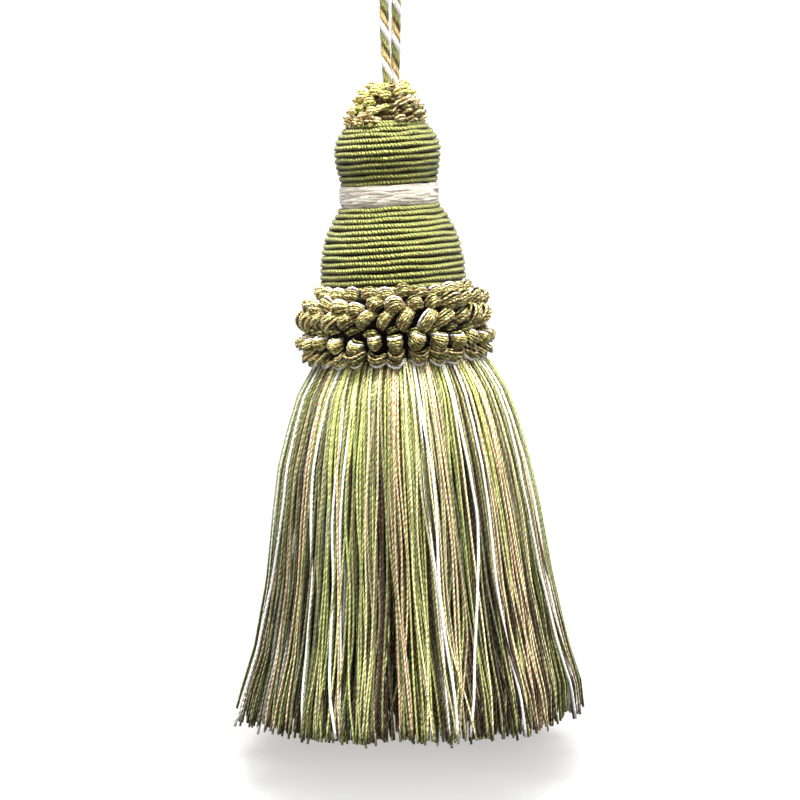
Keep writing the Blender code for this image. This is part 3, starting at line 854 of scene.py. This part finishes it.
# The dyes of a stitch's yarns, from its upper edge down.
FAT_DYES = [WHITE, GOLD, GREEN, GOLD, GREEN, GOLD, GREEN]
ROUND_DYES = [GREEN, WHITE, GOLD, GREEN, GOLD, GREEN, GREEN, GOLD]
# Down the ruff: drop, radius, stagger, dyes, half_length, half_width, height, tilt, bend.
RUFF_ROWS = [
    (44.0, 14.8, 0.0, FAT_DYES, 1.9, 1.35, 2.3, 10.0, -0.7),
    (46.4, 16.7, 0.5, FAT_DYES, 1.7, 1.45, 2.8, 24.0, -0.9),
    (49.7, 17.6, 0.0, FAT_DYES, 2.4, 1.2, 2.8, 42.0, -0.3),
    (52.2, 18.0, 0.3, [GREEN, GREEN, GOLD], 1.2, 0.4, 1.2, 10.0, -0.2),
    (54.7, 18.6, 0.5, ROUND_DYES, 1.45, 1.6, 2.6, 2.0, 0.6),
    (58.0, 17.9, 0.5, [GREEN, GOLD, GREEN, GREEN], 1.8, 0.95, 2.4, 0.0, 1.1),
    (59.1, 18.1, 0.5, [GOLD, WHITE], 1.65, 0.3, 2.4, 0.0, 1.3),
]
# The rings under the ruff: radius of the yarn, and each ring's drop and radius.
RUFF_RING_YARN = 0.85
RUFF_RINGS = [(44.3, 15.2), (45.5, 15.6)] + [(46.9 + 1.4 * row, 16.0) for row in range(8)]
RUFF_RINGS += [(58.1, 16.2), (59.3, 16.0)]

ruff_rng = np.random.default_rng(59)
ruff_groups = []
for drop, radius, stagger, dyes, *shape in RUFF_ROWS:
    turns = even_turns(RUFF_STITCHES, stagger)
    plain = [GREEN if number == WHITE else number for number in dyes]
    pale = [PALE_GOLD if number == GOLD else number for number in dyes]
    row_dyes = []
    for turn in turns:
        # Painted light: paler gold on the ruff's lit left side.
        if math.cos(turn) < -PAINTED_LIGHT_SIDE:
            row_dyes.append(pale)
        elif drop > ALL_EDGED_DROP or ruff_rng.uniform() < EDGED_SHARE:
            row_dyes.append(dyes)
        else:
            row_dyes.append(plain)
    ruff_groups.append(stitches(ruff_rng, turns, drop, radius, row_dyes, *shape, loose=1.4))
knotted("ruff_knots", ruff_groups, "ruff")
# The rings' near-black finish is painted shade between the stitches.
foundation(
    "ruff_foundation", RUFF_RING_YARN, RUFF_RINGS,
    silk("ruff_ground_painted_shade", 2, 2.0, dye(0.13, 0.10, 0.05), dye(0.07, 0.05, 0.03)),
)


# ---------------------------------------------------------------------------------------------------------
# The studio: a pale paper floor just under the hanging tassel, which glows for the camera as painted light,
# a soft key almost overhead, a wide sky light and an even white room. The camera looks from a little above
# the ruff.
# ---------------------------------------------------------------------------------------------------------
# The floor lies so far below the skirt, rises behind it by so much over such a run, and is finely divided
# only near it.
# Its glow for the camera, painted light that lightens the shadow under the tassel, changes over a range of
# the run, counted forwards from under the tassel.
FLOOR_GAP = 9.0
FLOOR_RISE = 16.0
FLOOR_RUN = 50.0
FLOOR_NEAR = 200.0
FLOOR_FAR = 30000.0
FLOOR_HALF_WIDTH = 30.0
FLOOR_FADE = (-20.0, 14.0)
FLOOR_BACK_GLOW = (0.47, 0.46, 0.445, 1.0)
FLOOR_FRONT_GLOW = (0.75, 0.745, 0.735, 1.0)
VIEW_CENTRE = np.array([2.1, 0.0, -122.6]) * MM
VIEW_WIDTH = 170.5 * MM
CAMERA_DISTANCE = 1.2
CAMERA_HEIGHT = math.radians(3.5)

floor_places = []
for run in [-FLOOR_FAR, *np.linspace(-FLOOR_NEAR, FLOOR_NEAR, 201), FLOOR_FAR]:
    rise = FLOOR_RISE * math.tanh(run / FLOOR_RUN)
    floor_places += [(-FLOOR_HALF_WIDTH, run * MM, rise * MM), (FLOOR_HALF_WIDTH, run * MM, rise * MM)]
floor_strips = [(k, k + 1, k + 3, k + 2) for k in range(0, len(floor_places) - 2, 2)]
floor_mesh = bpy.data.meshes.new("floor")
floor_mesh.from_pydata(floor_places, [], floor_strips)
floor = bpy.data.objects.new("floor", floor_mesh)
bpy.context.scene.collection.objects.link(floor)
floor.location.z = cad_low.z - FLOOR_GAP * MM
floor_finish = bpy.data.materials.new("floor")
floor_finish.use_nodes = True
floor_shader = floor_finish.node_tree.nodes["Principled BSDF"]
paper = Fibre(floor_finish.node_tree)
# Painted light: camera rays see the floor glow, brighter towards the front.
seen = paper.node("LightPath", None, None, "Is Camera Ray")
paper_white = seen.mixed((0.10, 0.10, 0.10, 1.0), (0.11, 0.11, 0.11, 1.0))
floor_finish.node_tree.links.new(paper_white.socket, floor_shader.inputs["Base Color"])
run = paper.node("SeparateXYZ", None, {0: paper.node("TexCoord", None, None, "Object")}, 1)
nearer = (0.0 - run / MM).between(*FLOOR_FADE)
paper_glow = seen.mixed((0.0, 0.0, 0.0, 1.0), nearer.mixed(FLOOR_BACK_GLOW, FLOOR_FRONT_GLOW))
floor_finish.node_tree.links.new(paper_glow.socket, floor_shader.inputs["Emission Color"])
floor_shader.inputs["Emission Strength"].default_value = 1.0
floor_shader.inputs["Roughness"].default_value = 0.9
floor_shader.inputs["Specular IOR Level"].default_value = 0.1
floor_mesh.materials.append(floor_finish)

# name, degrees from straight ahead towards +X, degrees above level, strength, degrees across.
for name, turn, height, strength, width in [
    ("key", 8, 82.5, 11.3, 30),
    ("sky", 0, 86, 5.3, 80),
    ("front", 15, 20, 0.7, 14),
    ("left_kicker", -115, 25, 0.6, 50),
    ("right_kicker", 115, 25, 1.2, 50),
]:
    lamp = bpy.data.objects.new(name, bpy.data.lights.new(name, "SUN"))
    bpy.context.scene.collection.objects.link(lamp)
    lamp.data.energy = strength
    lamp.data.angle = math.radians(width)
    lamp.rotation_euler = (math.radians(90 - height), 0.0, math.radians(turn))

world = bpy.data.worlds.new("studio")
bpy.context.scene.world = world
world.use_nodes = True
room = Fibre(world.node_tree)
seen = room.node("LightPath", None, None, "Is Camera Ray")
background = world.node_tree.nodes["Background"]
world.node_tree.links.new((0.05 + seen * 0.97).socket, background.inputs["Strength"])
background.inputs["Color"].default_value = (1.0, 1.0, 1.0, 1.0)

camera = bpy.data.objects.new("camera", bpy.data.cameras.new("camera"))
bpy.context.scene.collection.objects.link(camera)
camera.data.lens = camera.data.sensor_width * CAMERA_DISTANCE / VIEW_WIDTH
camera.data.clip_start = 0.05
camera.data.clip_end = 60.0
towards_camera = np.array([0.0, -math.cos(CAMERA_HEIGHT), math.sin(CAMERA_HEIGHT)])
camera.location = VIEW_CENTRE + CAMERA_DISTANCE * towards_camera
camera.rotation_euler = (math.pi / 2 - CAMERA_HEIGHT, 0.0, 0.0)
bpy.context.scene.camera = camera
bpy.context.scene.view_settings.view_transform = "Standard"
